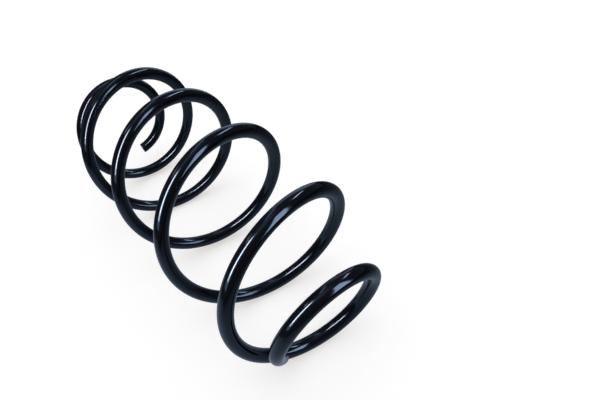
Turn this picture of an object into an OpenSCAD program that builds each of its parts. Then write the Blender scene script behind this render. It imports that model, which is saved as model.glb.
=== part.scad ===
// Front suspension coil spring: one bar of round spring steel, wound right-handed, with open end
// coils of smaller diameter. It lies on its side, as it comes to rest on a floor.

/* [Wire] */
// Diameter of the painted bar
wire_d = 12.5; // [8:0.1:18]
// Width of the small bevel round each sawn end
edge_break = 0.6; // [0.2:0.1:1.5]

/* [Body] */
// Number of turns from one cut end to the other
turns = 5.8; // [5:0.05:9]
// Mean coil diameter of the body, measured at the middle of the wire
body_mean_d = 145; // [100:1:200]
// Pitch where the body begins, above the low end coil
body_pitch_low = 92; // [60:1:130]
// Pitch where the body ends, below the high end coil
body_pitch_high = 86; // [60:1:130]

/* [Low end coil] */
// Mean coil diameter at the low cut end
low_mean_d = 80; // [60:1:140]
// Turns over which the low end widens to the body
low_taper_turns = 1.44; // [0.6:0.02:2]
// Pitch of the low end coil
low_pitch = 56; // [20:1:90]
// Turns that are wound at the low end pitch
low_pitch_turns = 1.33; // [0.6:0.01:2]
// Pitch at the very tip, negative where the tip turns back towards the body
tip_pitch = -90; // [-120:1:60]
// Turns from the cut to the middle of the bend that turns the tip back
tip_turns = 0.27; // [0.1:0.01:0.5]
// How far off the body's axis the low cut end is wound
low_set_off = 26; // [0:0.5:35]
// Turns over which the low end comes back to the body's axis
low_set_off_turns = 2; // [1:0.05:3]

/* [High end coil] */
// Mean coil diameter at the high cut end
high_mean_d = 89; // [60:1:140]
// Turns over which the body narrows to the high end
high_taper_turns = 1.37; // [0.6:0.01:2]
// Pitch where the high end coil begins
high_pitch = 51; // [20:1:90]
// Pitch at the high cut end
high_pitch_last = 17; // [10:1:60]
// Turns that are wound at the high end pitch
high_pitch_turns = 1.11; // [0.6:0.01:2]
// How far off the body's axis the high cut end is wound
high_set_off = 19; // [0:0.5:35]
// Turns over which the high end leaves the body's axis
high_set_off_turns = 2.66; // [1:0.02:3]

/* [Lying pose] */
// Roll of the low cut end about the axis, from straight up
start_angle = 242; // [0:0.5:360]
// Roll of the side to which both end coils are set off, from straight up
set_off_angle = 193; // [0:0.5:360]
// Slope at which the axis comes to rest on the floor
rest_lean = 0.82; // [-3:0.01:3]

/* [Smoothness] */
// Flat sides round the wire
wire_sides = 16; // [8:1:20]
// Rings of points in each turn
rings_per_turn = 54; // [24:1:60]

/* [Hidden] */
paint = [0.035, 0.04, 0.055];
wire_r = wire_d / 2;
body_r = body_mean_d / 2;
low_r = low_mean_d / 2;
high_r = high_mean_d / 2;
// Half the length, in turns, of each short blend from one rate of winding to the next
blend_turns = 0.08;
// Half the length, in turns, of the slow bend at the tip
tip_blend_turns = 0.26;
// Turn counts at which the body starts and stops
body_start = low_pitch_turns;
body_stop = turns - high_pitch_turns;
rings = ceil(turns * rings_per_turn);

// 0 before u reaches 0 and u after it, with a parabola of half length w between the two
function ramp(u, w) = u <= -w ? 0 : u >= w ? u : (u + w) ^ 2 / (4 * w);

// How much of the low end's and of the high end's taper is left after t turns, from 1 to 0
function low_share(t, reach) = ramp(reach - t, blend_turns) / reach;
function high_share(t, reach) = ramp(t - (turns - reach), blend_turns) / reach;

// Coil radius after t turns
function coil_r(t) =
    body_r
    - (body_r - low_r) * low_share(t, low_taper_turns)
    - (body_r - high_r) * high_share(t, high_taper_turns);

// Distance of the winding centre from the body's axis after t turns
function set_off(t) =
    low_set_off * low_share(t, low_set_off_turns)
    + high_set_off * high_share(t, high_set_off_turns);

// Climb along the axis after t turns, counted from the start of the body
function body_climb(t) =
    let (inside = min(max(t, body_start), body_stop) - body_start,
         before = min(t - body_start, 0),
         after = max(t - body_stop, 0),
         change = (body_pitch_high - body_pitch_low) / (body_stop - body_start))
    body_pitch_low * (inside + before) + change * inside ^ 2 / 2 + body_pitch_high * after;

function climb(t) =
    body_climb(t)
    + (body_pitch_low - low_pitch) * ramp(body_start - t, blend_turns)
    + (low_pitch - tip_pitch) * ramp(tip_turns - t, tip_blend_turns)
    - (body_pitch_high - high_pitch) * ramp(t - body_stop, blend_turns)
    - (high_pitch - high_pitch_last) * max(t - body_stop, 0) ^ 2 / (2 * high_pitch_turns);

// Unit vector away from the axis, rolled from straight up about +X
function away(angle) = [0, -sin(angle), cos(angle)];

// Middle of the wire after t turns, about a level axis
function wound(t) =
    [climb(t), 0, 0]
    + coil_r(t) * away(start_angle + 360 * t)
    + set_off(t) * away(set_off_angle);

// The same point once the axis lies at its resting slope
function leaned(p) =
    [p.x * cos(rest_lean) - p.z * sin(rest_lean), p.y, p.x * sin(rest_lean) + p.z * cos(rest_lean)];
function centre(t) = leaned(wound(t));

function unit(v) = v / norm(v);
// Direction of the wire after t turns
function along(t) = let (step = 0.001) unit(centre(t + step) - centre(t - step));

// The ring of points at a given turn count and wire radius
function ring(t, r) =
    let (dir = along(t),
         side = unit(cross(dir, [1, 0, 0])),
         up = cross(dir, side))
    [for (k = [0 : wire_sides - 1])
        let (a = 360 * k / wire_sides) centre(t) + r * (cos(a) * side + sin(a) * up)];

// Turn count that a length of wire takes at each cut end
low_break_turns = edge_break / (norm(centre(0.01) - centre(0)) * 100);
high_break_turns = edge_break / (norm(centre(turns) - centre(turns - 0.01)) * 100);

// Every ring in order: a bevelled cut, the wire, and the other bevelled cut
sections = concat(
    [[0, wire_r - edge_break]],
    [for (k = [0 : rings])
        [low_break_turns + (turns - low_break_turns - high_break_turns) * k / rings, wire_r]],
    [[turns, wire_r - edge_break]]);

wire_points = [for (s = sections) each ring(s[0], s[1])];
section_count = len(sections);
last_ring = (section_count - 1) * wire_sides;

wire_faces = concat(
    [[for (k = [0 : wire_sides - 1]) k]],
    [for (s = [0 : section_count - 2], k = [0 : wire_sides - 1])
        let (next = (k + 1) % wire_sides, here = s * wire_sides, there = here + wire_sides)
        each [[here + k, there + k, there + next], [here + k, there + next, here + next]]],
    [[for (k = [wire_sides - 1 : -1 : 0]) last_ring + k]]);

// The spring stands on z = 0, with the middle of its box above the origin
low_corner = [for (i = [0 : 2]) min([for (p = wire_points) p[i]])];
high_corner = [for (i = [0 : 2]) max([for (p = wire_points) p[i]])];
box_middle = (low_corner + high_corner) / 2;

module coil_spring() {
    color(paint)
        translate([-box_middle.x, -box_middle.y, -low_corner.z])
            polyhedron(points = wire_points, faces = wire_faces, convexity = 12);
}

coil_spring();
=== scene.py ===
# %% [markdown]
# A front suspension spring of a car: one bar of round spring steel, wound into an open coil,
# hardened, and coated with a glossy blue-black paint. It lies on its side on a pale floor. The
# solid from the CAD step comes in first. Its sixteen flat sides are fine for collisions but would
# show in a gloss paint, so the bar is made again with a truly round section, from the same sizes.

# %% Load the solid
import math
import bmesh
import bpy
from mathutils import Euler, Matrix, Vector


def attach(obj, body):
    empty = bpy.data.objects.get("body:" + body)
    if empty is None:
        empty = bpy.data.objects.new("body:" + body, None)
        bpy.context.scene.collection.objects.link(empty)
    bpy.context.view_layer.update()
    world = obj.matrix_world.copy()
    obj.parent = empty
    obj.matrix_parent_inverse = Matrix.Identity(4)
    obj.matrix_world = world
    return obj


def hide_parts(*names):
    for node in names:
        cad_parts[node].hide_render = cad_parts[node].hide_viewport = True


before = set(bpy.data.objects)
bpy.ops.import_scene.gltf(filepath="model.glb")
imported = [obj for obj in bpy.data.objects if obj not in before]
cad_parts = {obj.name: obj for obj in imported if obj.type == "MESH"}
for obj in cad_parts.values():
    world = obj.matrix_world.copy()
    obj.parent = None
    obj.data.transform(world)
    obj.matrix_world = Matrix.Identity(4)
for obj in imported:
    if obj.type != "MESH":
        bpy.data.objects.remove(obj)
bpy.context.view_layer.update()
print("solid's nodes", len(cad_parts))

# %% [markdown]
# How the bar is wound. A winding machine feeds the bar while it steers three things: the radius of
# the coil, the climb along the axis, and how far the winding centre lies off the axis. All three
# are counted here in turns from the low cut end. The body is a plain coil. At both ends the coil
# narrows, closes up and moves to one side, so that it sits in a small spring seat.

# %% Sizes of the winding, in metres
MM = 0.001
wire_radius = 6.25 * MM
turns = 5.8
body_radius = 72.5 * MM
low_radius, low_taper = 40 * MM, 1.44
high_radius, high_taper = 44.5 * MM, 1.37
low_set_off, low_set_off_turns = 26 * MM, 2.0
high_set_off, high_set_off_turns = 19 * MM, 2.66
body_pitch_low, body_pitch_high = 92 * MM, 86 * MM
low_pitch, low_pitch_turns = 56 * MM, 1.33
tip_pitch, tip_turns = -90 * MM, 0.27
high_pitch, high_pitch_last, high_pitch_turns = 51 * MM, 17 * MM, 1.11
start_angle, set_off_angle, rest_lean = math.radians(242), math.radians(193), math.radians(0.82)
blend_turns, tip_blend_turns = 0.08, 0.26
print("bar wound over", turns, "turns, outer diameter", round(2 * (body_radius + wire_radius), 4), "m")

# %% [markdown]
# Each rate of winding changes to the next over a short blend, as a machine's cams do, because a
# sudden change would leave a kink that a gloss paint shows at once. A parabola between two straight
# lines is the simplest curve with no kink, so one small function serves the radius, the set-off and
# the pitch alike.


# %% Radius and set-off of the winding
def ramp(past, blend):
    """0 until past nears 0, past itself beyond that, and a parabola from -blend to blend."""
    if past <= -blend:
        return 0.0
    return past if past >= blend else (past + blend) ** 2 / (4 * blend)


def low_share(turn, reach):
    return ramp(reach - turn, blend_turns) / reach


def high_share(turn, reach):
    return ramp(turn - (turns - reach), blend_turns) / reach


def coil_radius(turn):
    narrowed_low = (body_radius - low_radius) * low_share(turn, low_taper)
    narrowed_high = (body_radius - high_radius) * high_share(turn, high_taper)
    return body_radius - narrowed_low - narrowed_high


def set_off(turn):
    low = low_set_off * low_share(turn, low_set_off_turns)
    return low + high_set_off * high_share(turn, high_set_off_turns)


print("coil radius at both cuts", round(coil_radius(0), 4), "and", round(coil_radius(turns), 4), "m")

# %% [markdown]
# The climb along the axis is the pitch, added up turn by turn. The body's pitch falls evenly from
# its low end to its high end. The low end coil has a smaller pitch, and its tip turns back towards
# the body, so the pitch is negative there. On the high end coil the pitch falls until the cut.


# %% Climb of the winding
def climb(turn):
    """Distance along the axis, counted from where the body starts."""
    start, stop = low_pitch_turns, turns - high_pitch_turns
    before = min(turn - start, 0)
    inside = min(max(turn, start), stop) - start
    after = max(turn - stop, 0)
    change = (body_pitch_high - body_pitch_low) / (stop - start)
    climbed = body_pitch_low * (inside + before) + change * inside ** 2 / 2 + body_pitch_high * after
    climbed += (body_pitch_low - low_pitch) * ramp(start - turn, blend_turns)
    climbed += (low_pitch - tip_pitch) * ramp(tip_turns - turn, tip_blend_turns)
    climbed -= (body_pitch_high - high_pitch) * ramp(turn - stop, blend_turns)
    return climbed - (high_pitch - high_pitch_last) * after ** 2 / (2 * high_pitch_turns)


print("climb from end to end", round(climb(turns) - climb(0), 4), "m")

# %% [markdown]
# Radius, set-off and climb together give the middle line of the wire. The winding axis isn't quite
# level: the end coils are smaller than the body, so the spring comes to rest on two turns of the
# body and the axis slopes by less than a degree.


# %% The middle line of the wire
def away(angle):
    """Unit vector away from the axis, rolled from straight up."""
    return Vector((0, -math.sin(angle), math.cos(angle)))


lean = Matrix.Rotation(-rest_lean, 3, "Y")


def wire_middle(turn):
    from_axis = coil_radius(turn) * away(start_angle + 2 * math.pi * turn)
    return lean @ (Vector((climb(turn), 0, 0)) + from_axis + set_off(turn) * away(set_off_angle))


print("cut to cut", round((wire_middle(turns) - wire_middle(0)).length, 4), "m")

# %% [markdown]
# Wherever the wire is cut, its section is a circle square to the middle line. A station is the
# transform that carries a circle to that place. Its side direction points away from the coil's
# axis, so the circles don't twist against each other from one station to the next.


# %% Stations along the wire
def wire_direction(turn, step=0.001):
    return (wire_middle(turn + step) - wire_middle(turn - step)).normalized()


def station(turn):
    """The transform that carries a circle in the XY plane to the wire's section."""
    ahead = wire_direction(turn)
    side = ahead.cross(Vector((1, 0, 0))).normalized()
    turned = Matrix((side, ahead.cross(side), ahead)).transposed().to_4x4()
    turned.translation = wire_middle(turn)
    return turned


print("the bar starts at", [round(value, 4) for value in station(0).translation])

# %% [markdown]
# A wound bar has no joint and no seam, so it is swept: a circle of edges is extruded along the
# middle line, one short step at a time, and each new ring is carried to its place by the transform
# between two stations. A curve with a round bevel would look alike, but it gives no hold on the two
# sawn ends. Each ring also notes how far along the bar it lies, for the paint.

# %% Sweep the bar
wire_sides, rings_per_turn = 48, 120
ring_count = math.ceil(turns * rings_per_turn)


def only(kind, parts):
    return [part for part in parts if isinstance(part, kind)]


bar = bmesh.new()
along_bar = bar.verts.layers.float.new("along_bar")
round_bar = bar.verts.layers.float.new("round_bar")
ring = bmesh.ops.create_circle(bar, segments=wire_sides, radius=wire_radius)["verts"]
for vert in ring:
    vert[round_bar] = math.atan2(vert.co.y, vert.co.x) / (2 * math.pi) % 1
here, length = station(0), 0.0
bmesh.ops.transform(bar, matrix=here, verts=ring)
first_rim = last_rim = list(bar.edges)
for step in range(1, ring_count + 1):
    there = station(turns * step / ring_count)
    length += (there.translation - here.translation).length
    grown = bmesh.ops.extrude_edge_only(bar, edges=last_rim)["geom"]
    ring = only(bmesh.types.BMVert, grown)
    bmesh.ops.transform(bar, matrix=there @ here.inverted(), verts=ring)
    for vert in ring:
        vert[along_bar] = length
    new_verts = set(ring)
    last_rim = [edge for edge in only(bmesh.types.BMEdge, grown) if new_verts.issuperset(edge.verts)]
    here = there
print("bar of", round(length, 3), "m in", len(bar.faces), "faces")

# %% [markdown]
# The paint needs to know where it is along the bar and round it, because drawing, dipping and
# handling leave marks that follow the bar and not the room. A UV map carries that: one coordinate
# runs once round the section and the other along the bar, both in metres, so that a pattern has the
# same size everywhere. The faces that close the round take their low side as one full round on, or
# the whole map would be squeezed backwards into them.

# %% Lay a map along the bar
bar_map = bar.loops.layers.uv.new("along_bar")
girth, half_round = 2 * math.pi * wire_radius, 0.5
for face in bar.faces:
    shares = [vert[round_bar] for vert in face.verts]
    wraps = max(shares) - min(shares) > half_round
    for loop, share in zip(face.loops, shares):
        share += 1 if wraps and share < half_round else 0
        loop[bar_map].uv = (share * girth, loop.vert[along_bar])
print("map of", round(girth, 4), "by", round(length, 3), "m")

# %% [markdown]
# The bar was sawn off square at both ends. The sweep left two open rims, so each gets a flat face,
# and a narrow rounded bevel takes off the edge where the saw's burr was dressed. The new faces are
# laid on the map too, at the very end of the bar. Only the two cut faces are shaded flat: they are
# the ones with more than four corners.

# %% Close and dress the sawn ends
edge_break, quad_corners = 0.6 * MM, 4
for rim in (first_rim, last_rim):
    bmesh.ops.edgeloop_fill(bar, edges=rim)
bmesh.ops.bevel(bar, geom=first_rim + last_rim, offset=edge_break, offset_type="OFFSET", segments=3,
                profile=0.5, affect="EDGES", material=-1)
bmesh.ops.recalc_face_normals(bar, faces=bar.faces)
for face in bar.faces:
    face.smooth = len(face.verts) <= quad_corners
    for loop in face.loops:
        loop[bar_map].uv.y = loop.vert[along_bar]
print("cut faces", sum(not face.smooth for face in bar.faces))

# %% [markdown]
# The bar is then set down: its lowest point touches the floor, and the middle of its length and
# width lies over the origin, as in the solid.

# %% Set the bar down
low_corner = Vector([min(vert.co[i] for vert in bar.verts) for i in range(3)])
high_corner = Vector([max(vert.co[i] for vert in bar.verts) for i in range(3)])
middle = (low_corner + high_corner) / 2
bmesh.ops.translate(bar, vec=(-middle.x, -middle.y, -low_corner.z), verts=bar.verts)
print("bar measures", [round(value, 5) for value in high_corner - low_corner])

# %% [markdown]
# The mesh becomes the one visible piece. It takes the place of the CAD node, which is hidden, and
# rides on the only body.


# %% Make the spring from the swept bar
def add_object(name, data):
    thing = bpy.data.objects.new(name, data)
    bpy.context.scene.collection.objects.link(thing)
    return thing


def add_piece(name, made):
    """An object that keeps what was made in a bmesh."""
    piece_mesh = bpy.data.meshes.new(name)
    made.to_mesh(piece_mesh)
    made.free()
    return add_object(name, piece_mesh)


spring = add_piece("spring_bar", bar)
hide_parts("coil_spring")
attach(spring, "root")
print("spring has", len(spring.data.polygons), "faces")

# %% [markdown]
# Materials are written as sums. A Signal is one output of a shader node, and adding, multiplying,
# dividing or subtracting it makes the Math node that does so, also where a plain number comes
# first, as in 1 - mask.


# %% Signals, to write sums with
class Signal:
    """One output of a shader node, to write sums with."""

    def __init__(self, finish, socket):
        self.finish, self.socket = finish, socket

    def maths(self, operation, first, second):
        return self.finish.add("ShaderNodeMath", {"operation": operation}, {0: first, 1: second})

    def __add__(self, other):
        return self.maths("ADD", self, other)

    def __sub__(self, other):
        return self.maths("SUBTRACT", self, other)

    def __rsub__(self, other):
        return self.maths("SUBTRACT", other, self)

    def __mul__(self, other):
        return self.maths("MULTIPLY", self, other)

    def __truediv__(self, other):
        return self.maths("DIVIDE", self, other)

    def __rtruediv__(self, other):
        return self.maths("DIVIDE", other, self)

    def least(self, other):
        return self.maths("MINIMUM", self, other)

    __radd__, __rmul__ = __add__, __mul__


print("sums are made with", Signal.__name__)

# %% [markdown]
# Any other node comes from Finish.add, which takes the node's type, its settings, and the values or
# Signals of its sockets. A colour ramp's stops are a setting too: each is a place and a brightness.
# Mixing two colours is so common that it has a line of its own. The Mix node has sockets for several
# kinds of data: 0 is the share, 6 and 7 are the two colours, and output 2 is the mixed one.


# %% Finishes, which add the nodes
class Finish:
    """One material, or the room's own light, under construction."""

    def __init__(self, name, kind=bpy.data.materials):
        self.holder = kind.new(name)
        self.holder.use_nodes = True
        self.tree = self.holder.node_tree
        self.tree.nodes.clear()

    def add(self, kind, settings=None, sockets=None, output=0):
        node = self.tree.nodes.new(kind)
        for name, value in (settings or {}).items():
            if name == "stops":
                self.set_stops(node.color_ramp.elements, value)
            else:
                setattr(node, name, value)
        for name, value in (sockets or {}).items():
            if isinstance(value, Signal):
                self.tree.links.new(value.socket, node.inputs[name])
            else:
                node.inputs[name].default_value = value
        return Signal(self, node.outputs[output]) if node.outputs else None

    @staticmethod
    def set_stops(stops, places):
        """A new ramp has two stops, which become the first and the last one."""
        stops[0].position, stops[1].position = places[0][0], places[-1][0]
        for place, _ in places[1:-1]:
            stops.new(place)
        for stop, (_, brightness) in zip(stops, places):
            stop.color = (brightness, brightness, brightness, 1)

    def mix(self, share, first, second):
        return self.add("ShaderNodeMix", {"data_type": "RGBA"}, {0: share, 6: first, 7: second}, 2)

    def put_on(self, thing):
        thing.data.materials.clear()
        thing.data.materials.append(self.holder)


print("finishes are made with", Finish.__name__)

# %% [markdown]
# The coat on a new spring is a powder or dip paint baked on: very dark, a little blue, hard and
# glossy. It isn't a mirror. It has a faint orange peel, a few fine nibs of dust caught while it
# baked, and a thin haze from handling. Long drawing lines of the bar underneath show through as a
# slight waviness along it, which is why the map along the bar is read too, stretched until the
# noise on it becomes lines.

# %% Where the paint's marks lie
paint = Finish("blue_black_gloss_paint")
spring_place = paint.add("ShaderNodeTexCoord", output="Object")
bar_place = paint.add("ShaderNodeUVMap", {"uv_map": "along_bar"})


def noise(place, scale, detail=2.0):
    return paint.add("ShaderNodeTexNoise", None, {"Vector": place, "Scale": scale, "Detail": detail})


per_metre_round, per_metre_along = 900, 14
drawn_place = paint.add("ShaderNodeMapping", None, {
    "Vector": bar_place, "Scale": (per_metre_round, per_metre_along, 1)})
drawn = noise(drawn_place, 1.0)
peel = noise(spring_place, 420.0)
haze = noise(spring_place, 38.0, detail=5.0)
nib_place = paint.add("ShaderNodeTexVoronoi", None, {"Vector": spring_place, "Scale": 260.0})
nibs = paint.add("ShaderNodeValToRGB", {"stops": [(0.0, 1.0), (0.13, 0.0)]}, {"Fac": nib_place})
print("paint's marks come from", spring_place.socket.name, "and", bar_place.socket.name, "coordinates")

# %% [markdown]
# The sawn ends are coated thinly and a little dull. The map along the bar tells how far the nearer
# cut is, and from that distance comes a mask that fades over the last few millimetres. A second,
# much shorter mask hardly reaches past the two cut faces, which lie at the very ends of the map.
# There the saw left fine parallel lines, which the paint doesn't fill.

# %% Where the bar was sawn
dull_reach, saw_line_reach = 8 * MM, 0.4 * MM
along = paint.add("ShaderNodeSeparateXYZ", None, {"Vector": bar_place}, "Y")
from_cut = along.least(length - along)
sawn_end = 1 - (from_cut / dull_reach).least(1)
sawn_face = 1 - (from_cut / saw_line_reach).least(1)
saw_lines = paint.add("ShaderNodeTexWave", {"bands_direction": "DIAGONAL"}, {
    "Vector": spring_place, "Scale": 800.0, "Distortion": 2.5, "Detail": 2.0,
    "Detail Scale": 0.5}, "Fac")
print("sawn ends reach", dull_reach, "m along the bar")

# %% [markdown]
# Now the marks are weighed against each other. Dust and haze lift the colour from its deep blue
# black, and roughen the gloss. The peel, the lines and the nibs are far smaller than the bar, so
# they go into the bump, which is only hundredths of a millimetre high. The reflections are tinted
# slightly blue, as they look in the picture.

# %% Colour, gloss and relief of the paint
deep, dusty = (0.0010, 0.0012, 0.0022, 1), (0.034, 0.027, 0.022, 1)
clean_roughness, relief_height = 0.062, 0.02 * MM
dust = nibs * 0.5 + haze * 0.03 + sawn_end * 0.05
gloss = haze * 0.07 + nibs * 0.2 + sawn_end * 0.1 + clean_roughness
relief = peel * 0.3 + drawn * 0.3 + nibs + saw_lines * sawn_face * 2
bumps = paint.add("ShaderNodeBump", None, {
    "Height": relief, "Strength": 0.25, "Distance": relief_height})
coat = paint.add("ShaderNodeBsdfPrincipled", None, {
    "Base Color": paint.mix(dust, deep, dusty), "Roughness": gloss, "Normal": bumps, "IOR": 1.45,
    "Specular Tint": (0.76, 0.84, 1.0, 1)})
paint.add("ShaderNodeOutputMaterial", None, {"Surface": coat})
paint.put_on(spring)
print("paint has", len(paint.tree.nodes), "nodes")

# %% [markdown]
# The spring lies on a plain pale floor, large enough to fill the picture. The floor is only the
# stage: it isn't part of the object. It glows a little, as a light table does, so that the
# spring's shadows on it stay soft and pale.


# %% The floor
def stage_piece(name, made, finish):
    piece = add_piece(name, made)
    finish.put_on(piece)
    return piece


def flat_sheet(reach):
    sheet = bmesh.new()
    bmesh.ops.create_grid(sheet, x_segments=1, y_segments=1, size=reach)
    return sheet


floor_reach = 6
pale = Finish("pale_floor")
matt = pale.add("ShaderNodeBsdfPrincipled", None, {
    "Base Color": (0.6, 0.6, 0.6, 1), "Roughness": 0.9, "Specular IOR Level": 0.0,
    "Emission Color": (1.0, 0.96, 0.92, 1), "Emission Strength": 0.55})
pale.add("ShaderNodeOutputMaterial", None, {"Surface": matt})
floor = stage_piece("floor", flat_sheet(floor_reach), pale)
floor.visible_glossy = False
print("floor of", round(floor.dimensions.x), "m")

# %% [markdown]
# The floor gets its own light: one very soft source from above, as from a white ceiling, which the
# paint doesn't mirror.

# %% Light for the floor
ceiling_width, ceiling_tilt = math.radians(120), math.radians(12)
ceiling_light = bpy.data.lights.new("ceiling_light", "SUN")
ceiling_light.energy, ceiling_light.angle = 2.1, ceiling_width
ceiling = add_object("ceiling_light", ceiling_light)
ceiling.rotation_euler = Euler((ceiling_tilt, 0, 0))
ceiling.visible_glossy = False
print("ceiling light gives", round(ceiling_light.energy, 1), "W per square metre")

# %% [markdown]
# A pale backdrop closes the view where the camera looks along the floor. It is a wide ring, white as
# the floor is from afar, so that no edge shows between the two from any side. Only the camera sees
# it.

# %% Pale backdrop
backdrop_radius, backdrop_height = 5, 6
lit_paper = Finish("lit_paper")
paper_glow = lit_paper.add("ShaderNodeEmission", None, {"Color": (1, 1, 1, 1), "Strength": 1.0})
lit_paper.add("ShaderNodeOutputMaterial", None, {"Surface": paper_glow})
wall = bmesh.new()
bmesh.ops.create_circle(wall, segments=64, radius=backdrop_radius)
grown = bmesh.ops.extrude_edge_only(wall, edges=wall.edges[:])["geom"]
bmesh.ops.translate(wall, vec=(0, 0, backdrop_height), verts=only(bmesh.types.BMVert, grown))
backdrop = stage_piece("backdrop", wall, lit_paper)
backdrop.visible_glossy = backdrop.visible_diffuse = backdrop.visible_shadow = False
print("backdrop of", len(backdrop.data.polygons), "faces")

# %% [markdown]
# A glossy black wire shows its surroundings more than its own colour, so the look is made by what
# it mirrors, as in a studio with black cloth and a few lights. Below, it mirrors a table whose light
# is painted on: a glowing sheet that no lamp lights, with a painted pool of light on the left and
# painted shade, almost black, on the right. The undersides of the turns take their slate grey from
# this painted reflection. The glow is given across the table, in metres, and it fades towards both
# ends of the spring. The pattern goes into the colour of the light, and the strength stays the same
# all over.

# %% The table with painted light that the paint mirrors
black, blue_shine = (0, 0, 0, 1), (0.57, 0.75, 1.0, 1)
# painted light across the table: a bright pool on the left, painted shade on the right
glow_across = [(-1.5, 0.06), (-0.6, 0.08), (-0.3, 0.11), (-0.18, 0.22), (-0.099, 0.40), (0.0, 0.54),
               (0.099, 0.68), (0.201, 0.98), (0.399, 0.88), (0.801, 0.79), (1.5, 0.82)]
farthest = glow_across[-1][0]
glow_middle, glow_reach = -0.04, 0.36
stops = [((y + farthest) / (2 * farthest), glow) for y, glow in glow_across]
painted_light_table = Finish("painted_light_table")
table_place = painted_light_table.add("ShaderNodeTexCoord", output="Object")
table_x = painted_light_table.add("ShaderNodeSeparateXYZ", None, {"Vector": table_place}, "X")
table_y = painted_light_table.add("ShaderNodeSeparateXYZ", None, {"Vector": table_place}, "Y")
share_across = (table_y + farthest) / (2 * farthest)
across = painted_light_table.add("ShaderNodeValToRGB", {"stops": stops}, {"Fac": share_across})
off_middle = (table_x - glow_middle) / glow_reach
# the painted pool of light and painted shade, dimmer towards both ends of the spring
shine = painted_light_table.mix(across / (1 + off_middle * off_middle), black, blue_shine)
table_glow = painted_light_table.add("ShaderNodeEmission", None, {"Color": shine, "Strength": 1.0})
painted_light_table.add("ShaderNodeOutputMaterial", None, {"Surface": table_glow})
table_sheet = flat_sheet(floor_reach)
bmesh.ops.translate(table_sheet, vec=(0, 0, -MM), verts=table_sheet.verts)
table = stage_piece("mirrored_table", table_sheet, painted_light_table)
table.visible_camera = table.visible_diffuse = table.visible_shadow = False
print("table's light in", len(painted_light_table.tree.nodes), "nodes")

# %% [markdown]
# Above the table the room is dim, and a little brighter overhead. This is the world's own light. Its
# brightness is given by how high a mirrored ray points, from level to straight up.

# %% The dim room that the paint mirrors
grey_dimness = (0.68, 0.78, 1.0, 1)
brightness_up = [(0.0, 0.17), (0.35, 0.14), (0.70, 0.18), (0.87, 0.22), (0.94, 0.38), (1.0, 0.90)]
dim_room = Finish("dim_room", bpy.data.worlds)
looking = dim_room.add("ShaderNodeTexCoord", output="Generated")
height = dim_room.add("ShaderNodeSeparateXYZ", None, {"Vector": looking}, "Z")
dimness = dim_room.add("ShaderNodeValToRGB", {"stops": brightness_up}, {"Fac": height})
dim_light = dim_room.add("ShaderNodeBackground", None, {
    "Color": dim_room.mix(dimness, black, grey_dimness), "Strength": 1.0})
dim_room.add("ShaderNodeOutputWorld", None, {"Surface": dim_light})
bpy.context.scene.world = dim_room.holder
print("room's light in", len(dim_room.tree.nodes), "nodes")

# %% [markdown]
# The lamps are flat rectangles that face the spring. Each is given as a place, the direction of its
# long side, its size, and how bright its face is, where white paper is 1. Blender asks for watts
# instead, which are four times the brightness for each square metre. The lamps light only what is
# glossy, so they leave no blotches on the floor.

# %% How a lamp is hung
spring_middle = Vector((0, 0, 0.08))
watts_per_glow = 4


def hang_lamp(name, colour, at, up, long, wide, glow):
    lamp = bpy.data.lights.new(name, "AREA")
    lamp.shape, lamp.size, lamp.size_y = "RECTANGLE", wide, long
    lamp.color, lamp.energy = colour, watts_per_glow * glow * wide * long
    at, up = Vector(at), Vector(up).normalized()
    back = at - spring_middle
    back = (back - back.dot(up) * up).normalized()
    turned = Matrix((up.cross(back), up, back)).transposed().to_4x4()
    holder = add_object(name, lamp)
    holder.matrix_world = Matrix.Translation(at) @ turned
    holder.visible_camera = holder.visible_diffuse = False
    print(name, "gives", round(lamp.energy, 2), "W")


print("lamps face", list(spring_middle))

# %% [markdown]
# A tall thin tube on the left, with a softer glow round it, draws the white streaks along the turns.
# A broad box on the right makes the short slate-blue patches near their tops, and a long tube behind
# adds a thin line there. Round each of the three, a wider and much dimmer spill softens the edges,
# as light that spills on black cloth does.

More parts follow.
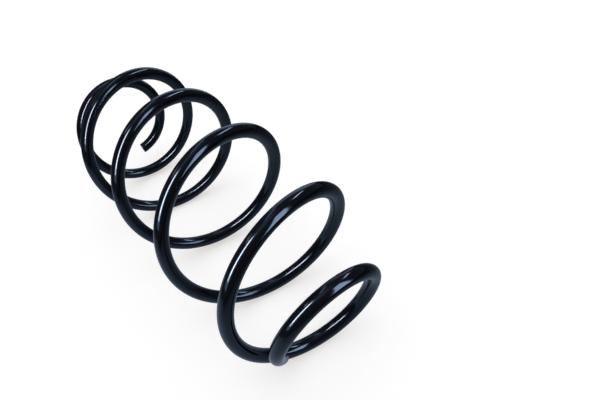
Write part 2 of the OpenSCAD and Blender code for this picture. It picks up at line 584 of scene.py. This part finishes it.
# %% Left, right and rear lamps
white, bluish_white = (0.96, 1.0, 1.0), (0.88, 0.95, 1.0)
pale_blue, cool_blue = (0.66, 0.78, 1.0), (0.605, 0.762, 1.0)
left_up, right_up, rear_up = (0.04, -0.44, 0.90), (-0.03, -0.25, 0.97), (-0.48, 0.80, -0.35)
hang_lamp("left_tube", white, (-0.126, 0.235, 0.390), left_up, long=0.30, wide=0.032, glow=33)
hang_lamp("left_glow", bluish_white, (-0.126, 0.235, 0.392), left_up, long=0.38, wide=0.09, glow=14)
hang_lamp("left_spill", cool_blue, (-0.127, 0.237, 0.394), left_up, long=0.48, wide=0.18, glow=1.6)
hang_lamp("right_box", cool_blue, (-0.419, -0.180, 0.300), right_up, long=0.388, wide=0.123, glow=7.7)
hang_lamp("right_spill", cool_blue, (-0.422, -0.181, 0.302), right_up, long=0.43, wide=0.165, glow=0.9)
hang_lamp("rear_tube", pale_blue, (0.145, -1.041, 0.849), rear_up, long=1.34, wide=0.055, glow=13)
hang_lamp("rear_spill", cool_blue, (0.146, -1.046, 0.852), rear_up, long=1.44, wide=0.16, glow=1.5)

# %% [markdown]
# Three dimmer ones fill in the rest. A pale blue board at the back lifts the far sides of the turns,
# a warm tube high up leaves the faint brownish trace beside the white streaks, and a short strip
# overhead lifts the tops.

# %% Board, warm tube and overhead strip
warm = (1.0, 0.85, 0.84)
board_up, high_up, strip_up = (-0.02, -0.34, 0.94), (0.12, 0.52, 0.85), (0.66, -0.49, -0.57)
hang_lamp("back_board", cool_blue, (0.571, -0.479, 0.379), board_up, long=0.64, wide=0.67, glow=0.74)
hang_lamp("high_tube", warm, (0.286, 0.519, 1.030), high_up, long=1.37, wide=0.07, glow=2.2)
hang_lamp("top_strip", cool_blue, (0.189, -0.084, 0.634), strip_up, long=0.32, wide=0.05, glow=3)

# %% [markdown]
# The camera looks down on the spring from beyond its low end, close and fairly wide, which is why
# the near coil looks so much larger than the far one. The picture is a part of a wider view, so the
# lens is shifted a little instead of turned: a turned lens would change the ellipses of the turns.
# The Standard view keeps white white and black black, as a product picture does.

# %% The camera
camera_data = bpy.data.cameras.new("camera")
picture_width, focal_pixels = 600, 430.56
camera_data.sensor_width = 36
camera_data.lens = camera_data.sensor_width * focal_pixels / picture_width
camera_data.shift_x, camera_data.shift_y = 0.0821, 0.0879
camera = add_object("camera", camera_data)
camera.location = (-0.32438, 0.09905, 0.35006)
camera.rotation_euler = Euler([math.radians(turn) for turn in (39.554, 10.990, -125.113)], "XYZ")
bpy.context.scene.camera = camera
bpy.context.scene.view_settings.view_transform = "Standard"
print("lens", round(camera_data.lens, 2), "mm")
